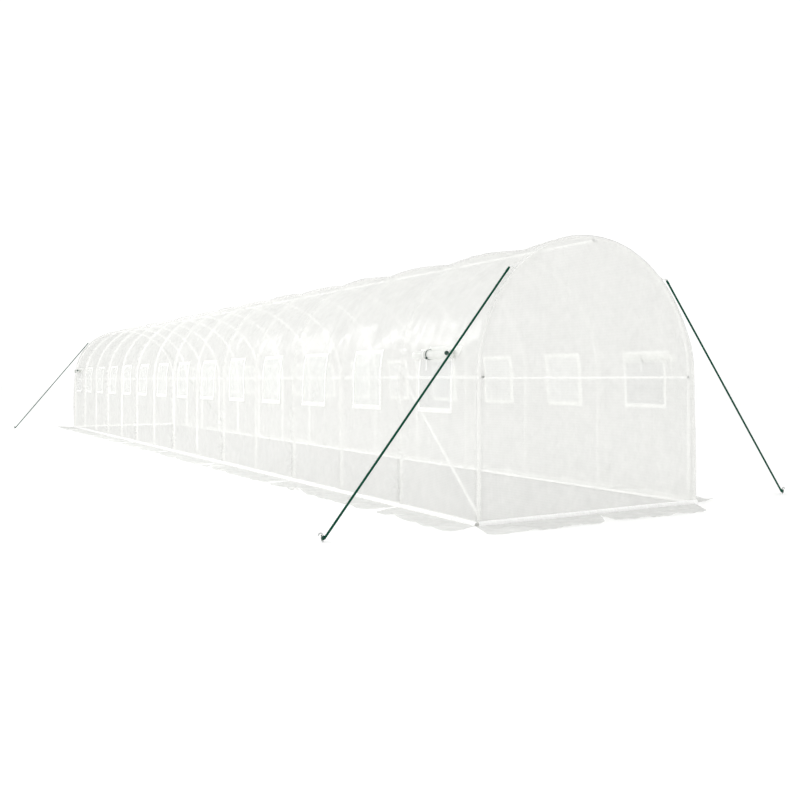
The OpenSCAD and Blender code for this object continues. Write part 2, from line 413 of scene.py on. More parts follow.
# Materials

def add_node(tree, kind, inputs=None, **settings):
    """Adds a node, sets its properties, and sets or links its inputs."""
    made = tree.nodes.new(kind)
    for name, value in settings.items():
        setattr(made, name, value)
    for socket, value in (inputs or {}).items():
        if isinstance(value, bpy.types.NodeSocket):
            tree.links.new(value, made.inputs[socket])
        else:
            made.inputs[socket].default_value = value
    return made


def calc(tree, operation, first, second=0.0):
    """Adds one sum with two values."""
    return add_node(tree, "ShaderNodeMath", {0: first, 1: second}, operation=operation).outputs[0]


def fit(tree, value, low, high, start, end, shape="LINEAR"):
    """Takes a value from between low and high to between start and end, and no further."""
    inputs = {"Value": value, "From Min": low, "From Max": high, "To Min": start, "To Max": end}
    return add_node(tree, "ShaderNodeMapRange", inputs, interpolation_type=shape).outputs[0]


def plus(tree, value, other, share):
    """A value with a share of another added to it."""
    return calc(tree, "ADD", value, calc(tree, "MULTIPLY", other, share))


def noise_fit(tree, value, start, end):
    """Takes noise, which mostly stays between 0.3 and 0.7, to between start and end."""
    return fit(tree, value, 0.3, 0.7, start, end)


def noise(tree, where, scale, detail=4.0, rough=0.55):
    """Cloudy noise of about 0 to 1."""
    inputs = {"Vector": where, "Scale": scale, "Detail": detail, "Roughness": rough}
    return add_node(tree, "ShaderNodeTexNoise", inputs).outputs["Fac"]


def blend_colour(tree, factor, first, second):
    """Goes from the first colour to the second as the factor goes from 0 to 1."""
    made = add_node(tree, "ShaderNodeMix", {"Factor": factor}, data_type="RGBA")
    ends = {"A": first, "B": second}
    for socket in made.inputs:
        if socket.type == "RGBA":
            socket.default_value = (*ends[socket.name], 1)
    return next(s for s in made.outputs if s.type == "RGBA")


def stretched(tree, where, scale):
    """Coordinates scaled along each axis."""
    return add_node(tree, "ShaderNodeMapping", {"Vector": where, "Scale": scale}).outputs[0]


def bumped(tree, height, strength, distance):
    """A normal that follows a height."""
    inputs = {"Height": height, "Strength": strength, "Distance": distance}
    return add_node(tree, "ShaderNodeBump", inputs).outputs[0]


def new_material(name, constants):
    """A node material with its shader's fixed inputs set. Returns it, its tree and its shader."""
    made = bpy.data.materials.new(name)
    made.use_nodes = True
    shader = next(n for n in made.node_tree.nodes if n.type == "BSDF_PRINCIPLED")
    for socket, value in constants.items():
        shader.inputs[socket].default_value = value
    return made, made.node_tree, shader


def metres(tree):
    """Coordinates in metres on the flat sheet."""
    return add_node(tree, "ShaderNodeUVMap", uv_map="metres").outputs[0]


def place(tree):
    """Coordinates in metres in the shared frame."""
    return add_node(tree, "ShaderNodeTexCoord").outputs["Object"]


def threads(tree, where, pitch, thread):
    """1 on the threads of a square net, 0 between them."""
    parts = add_node(tree, "ShaderNodeSeparateXYZ", {"Vector": where})
    lines = []
    for axis in ("X", "Y"):
        from_line = calc(tree, "PINGPONG", parts.outputs[axis], pitch / 2)
        lines.append(fit(tree, from_line, thread * 0.35, thread * 0.65, 1.0, 0.0))
    return calc(tree, "MAXIMUM", lines[0], lines[1])


def dress(tree, shader, colour, rough, relief):
    """Links a colour, a roughness (noise, start, end) and a relief (height, strength, distance)."""
    links = {"Base Color": colour, "Roughness": noise_fit(tree, *rough), "Normal": bumped(tree, *relief)}
    for socket, value in links.items():
        tree.links.new(value, shader.inputs[socket])


def let_through(tree, shader, colour, cover, share):
    """Makes thin sheet of a shader: cover is how much it hides, share how much of that glows through."""
    glow = add_node(tree, "ShaderNodeBsdfTranslucent", {"Color": colour})
    film = add_node(tree, "ShaderNodeMixShader", {0: share, 1: shader.outputs[0], 2: glow.outputs[0]})
    clear = add_node(tree, "ShaderNodeBsdfTransparent")
    sheet = add_node(tree, "ShaderNodeMixShader", {0: cover, 1: clear.outputs[0], 2: film.outputs[0]})
    output = next(n for n in tree.nodes if n.type == "OUTPUT_MATERIAL")
    tree.links.new(sheet.outputs[0], output.inputs["Surface"])


def sheet_material(name, thin, thick, dark, pale):
    """Milky woven sheet: a net of threads in a cloudy film, with faint grain and fine creases."""
    made, tree, shader = new_material(name, {"IOR": 1.5, "Specular IOR Level": 0.8})
    where = place(tree)
    flat = metres(tree)
    net = threads(tree, flat, 0.011, 0.0028)
    cloud = noise(tree, where, 3.4, 5.0, 0.62)
    blotch = noise(tree, where, 13.0, 2.0, 0.5)
    grain = noise(tree, stretched(tree, flat, (26.0, 2.2, 1.0)), 1.0, 3.0)
    fine = noise(tree, where, 42.0, 3.0)
    milk = plus(tree, calc(tree, "MULTIPLY", cloud, 0.60), blotch, 0.33)
    milk = plus(tree, milk, grain, 0.07)
    cover = plus(tree, fit(tree, milk, 0.36, 0.64, thin, thick), net, 0.05)
    colour = blend_colour(tree, fit(tree, milk, 0.36, 0.64, 0.0, 1.0), dark, pale)
    relief = plus(tree, fine, net, 0.5)
    dress(tree, shader, colour, (cloud, 0.13, 0.24), (relief, 0.10, 0.0015))
    let_through(tree, shader, colour, cover, 0.5)
    return made


def tape_material(name, thin, thick, dark=(0.88, 0.89, 0.88), pale=(0.96, 0.96, 0.95), share=0.45):
    """Doubled sheet along seams, hems and window borders, with rows of stitches."""
    made, tree, shader = new_material(name, {"IOR": 1.45, "Specular IOR Level": 0.35})
    flat = metres(tree)
    parts = add_node(tree, "ShaderNodeSeparateXYZ", {"Vector": flat})
    row = fit(tree, calc(tree, "PINGPONG", parts.outputs["Y"], 0.008), 0.0006, 0.0012, 1.0, 0.0)
    dash = fit(tree, calc(tree, "PINGPONG", parts.outputs["X"], 0.004), 0.0009, 0.0013, 0.0, 1.0)
    stitch = calc(tree, "MULTIPLY", row, dash)
    crinkle = noise(tree, stretched(tree, flat, (60.0, 18.0, 1.0)), 1.0, 4.0)
    shade = fit(tree, plus(tree, crinkle, stitch, -0.4), 0.1, 0.6, 0.0, 1.0)
    colour = blend_colour(tree, shade, dark, pale)
    relief = plus(tree, crinkle, stitch, -0.8)
    dress(tree, shader, colour, (crinkle, 0.35, 0.55), (relief, 0.15, 0.002))
    let_through(tree, shader, colour, noise_fit(tree, crinkle, thin, thick), share)
    return made


def mesh_material():
    """Fine white insect netting: threads with open holes between them."""
    made, tree, shader = new_material("insect_netting", {"IOR": 1.45, "Specular IOR Level": 0.3})
    net = threads(tree, metres(tree), 0.004, 0.0014)
    uneven = noise(tree, place(tree), 9.0, 3.0)
    colour = blend_colour(tree, uneven, (0.83, 0.84, 0.83), (0.90, 0.91, 0.90))
    dress(tree, shader, colour, (uneven, 0.5, 0.7), (net, 0.4, 0.0006))
    let_through(tree, shader, colour, fit(tree, net, 0.0, 1.0, 0.10, 0.68), 0.4)
    return made


def tube_material(name, dull, bright):
    """White powder-coated tube, with the fine peel of the coat and scuffs that dull it."""
    made, tree, shader = new_material(name, {"IOR": 1.5, "Coat Weight": 0.15, "Coat Roughness": 0.2})
    where = place(tree)
    peel = noise(tree, where, 320.0, 2.0)
    tone = noise(tree, where, 7.0, 4.0)
    scuff = noise(tree, stretched(tree, where, (90.0, 14.0, 14.0)), 1.0, 5.0, 0.7)
    worn = calc(tree, "MULTIPLY", fit(tree, scuff, 0.62, 0.72, 0.0, 0.5), tone)
    clean = calc(tree, "SUBTRACT", noise_fit(tree, tone, 0.5, 1.0), worn)
    colour = blend_colour(tree, clean, dull, bright)
    dress(tree, shader, colour, (tone, 0.26, 0.40), (peel, 0.10, 0.0006))
    return made


def plug_material():
    """Dark moulded plastic, paler on the ridge bar and the right side."""
    made, tree, shader = new_material("moulded_plug", {"IOR": 1.48})
    where = place(tree)
    grain = noise(tree, where, 260.0, 3.0)
    tone = noise(tree, where, 30.0, 3.0)
    sideways = add_node(tree, "ShaderNodeSeparateXYZ", {"Vector": where}).outputs["X"]
    paler = plus(tree, fit(tree, sideways, -0.9, -0.5, 0.0, 0.7), tone, 0.3)
    colour = blend_colour(tree, paler, (0.09, 0.10, 0.095), (0.42, 0.43, 0.425))
    dress(tree, shader, colour, (tone, 0.45, 0.62), (grain, 0.25, 0.0006))
    return made


def rope_material():
    """Dark green laid rope: fibres along each strand."""
    made, tree, shader = new_material("green_rope", {"IOR": 1.4, "Specular IOR Level": 0.1})
    fibre = noise(tree, stretched(tree, metres(tree), (55.0, 900.0, 1.0)), 1.0, 3.0)
    tone = noise(tree, place(tree), 16.0, 3.0)
    mixed = noise_fit(tree, plus(tree, calc(tree, "MULTIPLY", fibre, 0.7), tone, 0.3), 0.0, 1.0)
    colour = blend_colour(tree, mixed, (0.0015, 0.045, 0.026), (0.005, 0.083, 0.048))
    dress(tree, shader, colour, (fibre, 0.55, 0.8), (fibre, 0.5, 0.001))
    return made


def toggle_material():
    """Dark green moulded toggle."""
    made, tree, shader = new_material("green_toggle", {"IOR": 1.48})
    where = place(tree)
    grain = noise(tree, where, 210.0, 3.0)
    tone = noise(tree, where, 25.0, 3.0)
    colour = blend_colour(tree, tone, (0.006, 0.034, 0.024), (0.016, 0.066, 0.046))
    dress(tree, shader, colour, (tone, 0.35, 0.5), (grain, 0.2, 0.0006))
    return made


def steel_material():
    """Bare grey steel rod with drawn streaks and dull patches."""
    made, tree, shader = new_material("peg_rod", {"Metallic": 0.9})
    where = place(tree)
    patch = noise(tree, where, 60.0, 5.0)
    streak = noise(tree, stretched(tree, where, (300.0, 300.0, 20.0)), 1.0, 2.0)
    colour = blend_colour(tree, patch, (0.62, 0.63, 0.63), (0.80, 0.81, 0.81))
    dress(tree, shader, colour, (patch, 0.34, 0.55), (streak, 0.2, 0.0005))
    return made


def webbing_material():
    """Flat white woven tape of the ties."""
    made, tree, shader = new_material("white_webbing", {"IOR": 1.4, "Sheen Weight": 0.2})
    weave = threads(tree, metres(tree), 0.0025, 0.0010)
    tone = noise(tree, place(tree), 22.0, 3.0)
    colour = blend_colour(tree, tone, (0.76, 0.77, 0.76), (0.90, 0.90, 0.89))
    dress(tree, shader, colour, (tone, 0.6, 0.8), (weave, 0.5, 0.0006))
    return made


def seen_past(tree, layers):
    """1 where the camera sees this through at least so many layers of sheet, and 0 elsewhere."""
    path = add_node(tree, "ShaderNodeLightPath")
    past = calc(tree, "GREATER_THAN", path.outputs["Transparent Depth"], layers - 0.5)
    return calc(tree, "MULTIPLY", past, path.outputs["Is Camera Ray"])


def floor_material():
    """Plain pale studio floor with a barely uneven tone, toned down where it shows through the sheet."""
    made, tree, shader = new_material("pale_floor", {"Specular IOR Level": 0.1})
    tone = noise(tree, place(tree), 0.6, 4.0)
    layers = calc(tree, "ADD", seen_past(tree, 1), seen_past(tree, 2))
    past_one = fit(tree, layers, 0.0, 1.0, 1.0, floor_through_one)
    past_two = fit(tree, layers, 1.0, 2.0, 1.0, room_through / floor_through_one)
    level = calc(tree, "MULTIPLY", noise_fit(tree, tone, 0.93, 0.95), past_one)
    level = calc(tree, "MULTIPLY", level, past_two)
    grey = add_node(tree, "ShaderNodeCombineColor", {"Red": level, "Green": level, "Blue": level})
    tree.links.new(grey.outputs[0], shader.inputs["Base Color"])
    tree.links.new(noise_fit(tree, tone, 0.85, 0.95), shader.inputs["Roughness"])
    return made


cover_look = sheet_material("milky_sheet", 0.41, 0.455, (0.925, 0.927, 0.905), (0.95, 0.952, 0.93))
end_look = sheet_material("end_sheet", 0.39, 0.47, (0.92, 0.922, 0.90), (0.95, 0.952, 0.93))
flap_look = sheet_material("flap_sheet", 0.28, 0.36, (0.915, 0.92, 0.90), (0.945, 0.95, 0.93))
skirt_look = sheet_material("skirt_sheet", 0.50, 0.64, (0.90, 0.905, 0.89), (0.95, 0.955, 0.94))
seam_look = tape_material("sewn_seam", 0.13, 0.17)
border_look = tape_material("sewn_border", 0.86, 0.94)
# A paler, almost opaque copy of the seam tape: painted light, which makes the cover's foot read as a
# bright line along the base rail
foot_lit_look = tape_material("sewn_foot_painted_light", 0.86, 0.94, (0.95, 0.955, 0.945), (0.985, 0.985, 0.98), 0.05)
roll_look = sheet_material("rolled_sheet", 0.70, 0.84, (0.93, 0.935, 0.92), (0.96, 0.965, 0.95))
netting_look = mesh_material()
tube_look = tube_material("powder_coat", (0.78, 0.78, 0.77), (0.86, 0.86, 0.85))
# Darker and paler copies of the one white coat: painted shade on the hoops, painted light on the side
# bars and base rails
hoop_shaded_look = tube_material("hoop_coat_painted_shade", (0.70, 0.70, 0.69), (0.78, 0.78, 0.77))
rail_lit_look = tube_material("rail_coat_painted_light", (0.92, 0.92, 0.91), (0.98, 0.98, 0.97))
bar_lit_look = tube_material("bar_coat_painted_light", (0.82, 0.82, 0.81), (0.88, 0.88, 0.87))
plug_look = plug_material()
rope_look = rope_material()
toggle_look = toggle_material()
steel_look = steel_material()
webbing_look = webbing_material()


def finish_frame():
    """Gives the solids that still show their materials. Hoops get a darker copy of the tube coat as
    painted shade, and the side bars and three base rails paler copies as painted light.
    """
    slot_looks = {"frame_tube": tube_look, "dark_plug": plug_look, "peg_steel": steel_look}
    # Hoops take the darker copy as painted shade; side bars and the left, front and back base rails take
    # paler copies as painted light
    node_looks = {"left_side_bar": bar_lit_look, "right_side_bar": bar_lit_look, "back_hoop": hoop_shaded_look}
    node_looks.update({f"{side}_base_rail": rail_lit_look for side in ("left", "front", "back")})
    node_looks.update({f"hoop_{i}": hoop_shaded_look for i in range(2, bay_count + 1)})
    for row in frame["record"]["subparts"]:
        look = node_looks.get(row["node"], slot_looks.get(row["material_slot"]))
        if look is not None:
            shown = nodes[row["node"]].data
            shown.materials.clear()
            shown.materials.append(look)


# Cover

# The girths of a window's lower and upper edges on the left wall, and of the cover's rows of points
window_low, window_high = wall_girth(sill_z), wall_girth(head_z)
row_marks = [0, window_low, window_high, girth_len - window_high, girth_len - window_low, girth_len]
cover_rows = joined_steps(row_marks, cell)


def in_windows(girth, y):
    """Which places of a grid, one for each girth and y, lie in a window opening."""
    up = np.minimum(girth, girth_len - girth)
    high_enough = (up > window_low) & (up < window_high)
    from_middle = np.abs((y - bay_mid[0] + bay_len / 2) % bay_len - bay_len / 2)
    inside = (from_middle < window_half) & (y > hoop_y[0]) & (y < hoop_y[-1])
    return high_enough[:, None] & inside[None, :]


def make_section(i):
    """One sewn length of the cover, from the ground on the left over the hoops to that on the right."""
    start, end = section_ends[i], section_ends[i + 1]
    marks = [start]
    for middle in bay_mid:
        if start < middle < end:
            marks += [middle - window_half, middle + window_half]
    girth = cover_rows
    y = joined_steps(marks + [end], cell)
    sheets = Sheets()
    open_cells = in_windows(middles(girth), middles(y))
    sheets.on_cover(girth, y, uv_grid(girth, y)[..., ::-1], keep=~open_cells)
    made = sheets.build(f"cover_section_{i + 1}", cover_look, "cover_sheet")
    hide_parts("left_wall_cover", "right_wall_cover", "roof_cover")
    seams = [make_seam(i)] if i < len(joint_y) else []


def make_seam(i):
    """The lapped and sewn strip where two lengths of the cover meet."""
    girth = cover_rows
    y = steps(joint_y[i] - seam_half, joint_y[i] + seam_half, seam_half / 3)
    crown_round = 1 - ((y - joint_y[i]) / seam_half) ** 2
    uneven = 1 + 0.5 * ripple(girth, 0, 40 + i, 0.05, 0.2)
    lift = sheet_gap + seam_crown * crown_round[None, :] * uneven[:, None]
    sheets = Sheets()
    sheets.on_cover(girth, y, uv_grid(girth, y - joint_y[i]), lift)
    return sheets.build(f"cover_seam_{i + 1}", seam_look, "cover_sheet")


def end_points(side, girth, across, lift):
    """Points on an end sheet. Rows run between the two ends of a girth, and across is 0 on the left."""
    edge_y = side * back_y
    left = cover_points(girth, edge_y)[:, None, :]
    right = cover_points(girth_len - girth, edge_y)[:, None, :]
    points = left + (right - left) * across[None, :, None]
    x, z = points[..., 0], points[..., 2]
    inward = np.minimum(across, 1 - across)[None, :] * (right - left)[..., 0]
    free = smooth(0.0, 0.35, inward) * smooth(0.0, 0.3, z)
    belly = end_belly * free + end_ripple * free * ripple(x, 0.6 * z, 21 + side, 0.5, 1.3)
    folds = end_fold * smooth(0, 0.12, inward) * crease(x, 0.25 * z, 24 + side, 0.14, 0.4)
    points[..., 1] = edge_y + side * (0.002 + belly + folds * smooth(0, 0.1, z) + lift)
    return points


def make_end(word, side):
    """The sheet across one end of the tunnel, with a sewn hem all along the arch."""
    girth = steps(0, girth_len / 2 - crown_gap, cell)
    across = np.linspace(0, 1, end_columns)
    points = end_points(side, girth, across, 0.0)
    sheets = Sheets()
    sheets.grid(points, points[..., [0, 2]])
    made = sheets.build(f"{word}_end_sheet", end_look, "cover_sheet")
    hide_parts(f"{word}_end_cover")
    hem = make_end_hem(side, f"{word}_end_sheet_hem")


def make_end_hem(side, name):
    """The sewn hem along the arch where an end sheet meets the cover: a lap on each of them."""
    girth = cover_rows
    edge_y = side * back_y
    lap = steps(0, hem_w, hem_w / 4)
    sheets = Sheets()
    sheets.on_cover(girth, edge_y - side * lap, uv_grid(girth, lap), sheet_gap)
    half = steps(0, girth_len / 2 - hem_crown_gap, cell)
    across = lap / (2 * wall_x)
    for part in (across, 1 - across):
        sheets.grid(end_points(side, half, part, sheet_gap), uv_grid(half, lap))
    return sheets.build(name, seam_look, "cover_sheet")


# Windows

def flap_lift(i, girth, y):
    """How far a closed flap stands off the wall: it swells in the middle and flutters at the foot."""
    above_foot = girth - window_low + flap_lap
    from_rim = np.minimum(above_foot, window_high + flap_lap - girth)
    from_side = window_half + flap_lap - np.abs(y - bay_mid[i])
    free = smooth(0, 0.16, from_side) * smooth(0, 0.16, from_rim)
    swell = flap_swell * free * (1 + ripple(girth, y, 60 + i, 0.2, 0.6))
    foot = flap_flutter * hump(0, 0.05, above_foot) * (1 + ripple(y, 0 * y, 80 + i, 0.1, 0.3))
    return flap_gap + swell + foot


def band(sheets, left_side, window, widths, bay=None):
    """A flat frame round a window (low, high, start, end), on the wall or on the closed flap of a bay."""
    low, high, start, end = window
    foot_w, head_w, side_w = widths
    girth = joined_steps([low - foot_w, low, high, high + head_w], frame_cell)
    y = joined_steps([start - side_w, start, end, end + side_w], frame_cell)
    hole_rows = (middles(girth) > low) & (middles(girth) < high)
    hole_columns = (middles(y) > start) & (middles(y) < end)
    keep = ~(hole_rows[:, None] & hole_columns[None, :])
    lift = sheet_gap
    if bay is not None:
        lift = flap_lift(bay, girth[:, None], y[None, :]) + 2 * sheet_gap
    sheets.on_cover(on_side(left_side, girth), y, uv_grid(girth - low, y - start), lift, keep)


def make_windows(left_side):
    """The netting, sewn frames and closed flaps of one wall."""
    word = "left" if left_side else "right"
    low, high = window_low, window_high
    netting, frames, flaps, hems = Sheets(), Sheets(), Sheets(), Sheets()
    for i, middle in enumerate(bay_mid):
        start, end = middle - window_half, middle + window_half
        girth = steps(low - netting_lap, high + netting_lap, cell)
        y = steps(start - netting_lap, end + netting_lap, cell)
        netting.on_cover(on_side(left_side, girth), y, uv_grid(girth, y), -sheet_gap)
        band(frames, left_side, (low, high, start, end), (tape_foot_w, tape_w, tape_w))
        if 0 < i < bay_count - 1:
            foot, head = low - flap_lap, high + flap_lap
            first, last = start - flap_lap, end + flap_lap
            girth = steps(foot, head, cell)
            y = steps(first, last, cell)
            lift = flap_lift(i, girth[:, None], y[None, :])
            flaps.on_cover(on_side(left_side, girth), y, uv_grid(girth, y)[..., ::-1], lift)
            inner = (foot + hem_foot_w, head - hem_w, first + hem_w, last - hem_w)
            band(hems, left_side, inner, (hem_foot_w, hem_w, hem_w), i)
    borders = frames.build(f"{word}_window_frames", border_look, "cover_sheet")
    net_piece = netting.build(f"{word}_window_netting", netting_look, "insect_mesh")
    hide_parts(f"{word}_window_mesh")
    hem_piece = hems.build(f"{word}_flap_hems", border_look, "cover_sheet")
    flap_piece = flaps.build(f"{word}_closed_flaps", flap_look, "cover_sheet")
    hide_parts(f"{word}_window_flaps")


def roll_axes(left_side):
    """A rolled flap in X and Z: its middle, and the directions out of the wall and up it."""
    sign = -1 if left_side else 1
    turn = math.atan2(roll_z - spring_z, roll_x)
    out = np.array([sign * math.cos(turn), math.sin(turn)])
    up = np.array([-sign * math.sin(turn), math.cos(turn)])
    return np.array([sign * roll_x, roll_z - roll_settles]), out, up


def roll_spiral(left_side):
    """Points and angles of a rolled flap's section: down from its top edge, then round into the roll."""
    centre, out, up = roll_axes(left_side)
    turn = np.linspace(0, 2 * math.pi * roll_turns, round(26 * roll_turns))
    radius = np.interp(turn, [0, turn[-1]], [roll_r * roll_size, roll_r * 0.34])
    wound = centre - radius[:, None] * turned(turn, out, up)
    top = cover_points(wall_girth(head_z) + flap_lap, bay_mid[0], 0.004)
    top = np.array([-abs(top[0]) if left_side else abs(top[0]), top[2]])
    hang = top + (wound[0] - top) * np.linspace(0, 1, 6)[:-1, None]
    return np.concatenate([hang, wound]), np.concatenate([np.zeros(5), turn])


def make_rolls():
    """The flaps of the first and last bays, rolled up, and the ties that hold them."""
    rolls, straps, toggles = Sheets(), Sheets(), Sheets()
    places = [(left_side, i) for left_side in (True, False) for i in (0, bay_count - 1)]
    for k, (left_side, i) in enumerate(places):
        line, turn = roll_spiral(left_side)
        centre = roll_axes(left_side)[0]
        along = lengths_along(line)
        y = steps(-roll_half, roll_half - roll_short, roll_cell)
        tied = hump(toggle_tie, tie_reach, y) + hump(band_tie, tie_reach, y)
        uneven = 0.05 * ripple(y[None, :], 0.02 * turn[:, None], 90 + k, 0.1, 0.4)
        loose = 1 - tie_squeeze * tied[None, :] + uneven
        held = smooth(0, 0.8, turn)[:, None]
        size = 1 + (np.minimum(loose, 1.04) - 1) * held
        flat = centre + (line[:, None, :] - centre) * size[..., None]
        points = np.stack([flat[..., 0], np.broadcast_to(bay_mid[i] + y, size.shape), flat[..., 1]], -1)
        rolls.grid(points, uv_grid(along, y)[..., ::-1])
        add_tape(straps, left_side, bay_mid[i] + toggle_tie)
        add_toggle(toggles, left_side, bay_mid[i] + toggle_tie, toggle_angle, toggle_r)
        add_tape(straps, left_side, bay_mid[i] + band_tie)
        # A dark cord and knot beside the tie: painted shadow of the tie, made as solids
        add_shadow_cord(toggles, left_side, bay_mid[i] + band_tie + shadow_cord_past_tie)
        add_toggle(toggles, left_side, bay_mid[i] + band_tie + shadow_knot_past_tie, shadow_knot_angle, shadow_knot_r)
    strap_piece = straps.build("roll_ties", webbing_look, "cover_sheet")
    toggle_piece = toggles.build("roll_toggles", toggle_look, "guy_rope")
    roll_piece = rolls.build("rolled_flaps", roll_look, "cover_sheet")
    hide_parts("rolled_window_flaps")


def roll_ring(left_side, turn, radius):
    """Points round a rolled flap, in X and Z, for the angles given."""
    centre, out, up = roll_axes(left_side)
    return centre + radius * turned(turn, out, up)


def add_tape(straps, left_side, y):
    """A flat tape from the wall round a rolled flap, with a hanging tail."""
    out, up = roll_axes(left_side)[1:]
    ring = roll_ring(left_side, np.linspace(0, 2 * math.pi, 33), roll_r * roll_size * 0.98 + 0.002)
    top = ring[8] + 0.028 * up - 0.026 * out
    tail = ring[24] - np.linspace(0, tie_tail, 6)[:, None] * np.array([0, 1.0]) - 0.004 * out
    for line in (ring, np.linspace(ring[9], top, 5), tail):
        shape = (len(line), len(tie_across))
        points = [np.broadcast_to(part, shape) for part in (line[:, :1], y + tie_across, line[:, 1:])]
        straps.grid(np.stack(points, -1), uv_grid(np.arange(len(line)) * 0.006, tie_across))


def add_toggle(toggles, left_side, y, angle, radius):
    """A round toggle on the outside of a roll, so many degrees up from its outermost line."""
    spot = roll_ring(left_side, np.radians([angle]), roll_r * roll_size + 0.6 * radius)[0]
    bend = np.radians(np.linspace(-80, 80, 13))
    path = [(spot[0], y + radius * math.sin(a), spot[1]) for a in bend]
    tube(toggles, path, radius * np.cos(bend), sides=18)


def add_shadow_cord(toggles, left_side, y):
    """A dark green cord wound round a rolled flap beside a tie, where the tie's shadow edge falls: a
    painted shadow made as a solid.
    """
    turn = np.linspace(-0.4 * math.pi, 2.2 * math.pi, 60)
    ring = roll_ring(left_side, turn, roll_r * roll_size + 0.6 * shadow_cord_r)
    along = y + 2.1 * shadow_cord_r * (turn - turn.mean()) / (2 * math.pi)
    tube(toggles, np.stack([ring[:, 0], along, ring[:, 1]], -1), shadow_cord_r)


# Skirts

def skirt_grid(sheets, place_at, ends, width, slants, seed):
    """One skirt piece on the ground. place_at turns (along, out, height) into points."""
    share = np.linspace(0, 1, 13)[:, None]
    fraction = np.linspace(0, 1, max(12, round((ends[1] - ends[0]) / skirt_cell)))[None, :]
    corner = skirt_corner * (1 - np.sqrt(1 - np.clip((share - 0.8) / 0.2, 0, 1) ** 2))
    low = ends[0] + slants[0] * share + corner
    high = ends[1] - slants[1] * share - corner
    along = low + (high - low) * fraction
    edge = 1 + 0.018 * ripple(along, 0 * along, seed, 0.3, 0.9) * share
    out = width * share * edge
    loose = smooth(0.1, 1.0, share)
    wave = np.maximum(ripple(along, 0.5 * out, seed + 1, 0.16, 0.5), -0.25) + 0.25
    wrinkle = crease(along, out, seed + 2, 0.08, 0.2) + 1
    height = 0.002 + 0.010 * loose * wave ** 1.5 + 0.0022 * smooth(0, 0.2, share) * wrinkle
    height = height + 0.003 * (1 - smooth(0, 0.16, share))
    sheets.grid(place_at(along, out, height), np.stack([along, out], -1))


def make_foot_seam(word):
    """The sewn foot of one side of the cover, which rounds outwards where it covers the base rail."""
    around = np.linspace(0, math.pi / 2, 9)
    up = foot_seam_h[word] * np.sin(around)
    lift = sheet_gap + foot_seam_out * np.cos(around)[:, None]
    seam = Sheets()
    if word in ("left", "right"):
        y = steps(front_y, back_y, cell)
        seam.on_cover(on_side(word == "left", up), y, uv_grid(up, y)[..., ::-1], lift)
    else:
        across = np.linspace(0, 1, end_columns)
        points = end_points(-1 if word == "front" else 1, up, across, lift)
        seam.grid(points, uv_grid(up, 2 * wall_x * across)[..., ::-1])
    return seam.build(f"{word}_foot_seam", foot_lit_look, "cover_sheet")


def beside(sign, width, along, out, height):
    """Places on the ground along a side of the cover, out from its foot. sign is -1 on the left."""
    foot = np.abs(cover_points(0.0 if sign < 0 else girth_len, along)[..., 0])
    reach = (wall_x + width - foot) / width
    return np.stack([sign * (foot + out * reach), along, height], -1)


def beyond(sign, along, out, height):
    """Places on the ground past an end of the cover. sign is -1 at the front."""
    return np.stack([-sign * along, sign * (-end_low.y - skirt_tuck + out), height], -1)


def build_skirt(sheets, word):
    """Makes the skirt of one side from its pieces, with the sewn foot of the cover beside it."""
    made = sheets.build(f"{word}_skirt_sheets", skirt_look, "cover_sheet")
    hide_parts(f"{word}_skirt")
    seam = make_foot_seam(word)


def make_side_skirt(word, sign):
    """The strip of sheet that lies outwards on the ground along one side, in pieces with slanted ends."""
    width = -side_skirt_low.x - wall_x
    sheets = Sheets()
    for i, (start, finish) in enumerate(zip(section_ends[:-1], section_ends[1:])):
        first = 0.0
        if i == 0:
            first = -skirt_flare if sign < 0 else right_front_slant
        last = -skirt_flare if i == len(section_ends) - 2 else side_skirt_slant
        put = partial(beside, sign, width)
        skirt_grid(sheets, put, (start, finish - skirt_split), width, (first, last), 100 + 7 * i + sign)
    build_skirt(sheets, word)


def make_end_skirt(word, sign):
    """The strip of sheet that lies outwards on the ground past one end, in two pieces."""
    width = end_low.y - front_skirt_low.y
    put = partial(beyond, sign)
    sheets = Sheets()
    slants = (-skirt_flare, end_skirt_slant)
    skirt_grid(sheets, put, (-wall_x, end_skirt_overlap), width, slants, 200 + sign)
    skirt_grid(sheets, put, (0.0, wall_x), width, (-notch_lean, end_skirt_slant), 210 + sign)
    build_skirt(sheets, word)


# Guy ropes

def twisted(sheets, path, radius, pitch=0.042, strands=3):
    """Lays a rope of twisted strands along a straight or gently bent path."""
    path = np.asarray(path, float)
    length = lengths_along(path)
    at = steps(0, length[-1], pitch / 12)
    line = np.stack([np.interp(at, length, path[:, k]) for k in range(3)], -1)
    along = unit(np.gradient(line, axis=0))
    across = unit(np.cross(along, [0.0, 1.0, 0.0]))
    other = np.cross(along, across)
    for k in range(strands):
        turn = 2 * math.pi * (at / pitch + k / strands)
        tube(sheets, line + 0.42 * radius * turned(turn, across, other), 0.60 * radius)


def coil(sheets, centre, axis_up, coil_r, radius, turns):
    """Winds a rope round an upright or leaning axis."""
    axis_up = unit(np.asarray(axis_up, float))
    across = unit(np.cross(axis_up, [0.0, 1.0, 0.0]))
    other = np.cross(axis_up, across)
    turn = np.linspace(0, 2 * math.pi * turns, round(20 * turns))
    height = np.linspace(-coil_rise / 2, coil_rise / 2, len(turn))
    path = np.asarray(centre) + coil_r * turned(turn, across, other)
    tube(sheets, path + height[:, None] * axis_up, radius)


def rope_ends(word):
    """The foot, the shortened top, the direction and the radius of a rope."""
    foot, top, radius = rope_line(f"{word}_rope")
    along = unit(top - foot)
    return foot, top - rope_end_short * along, along, radius


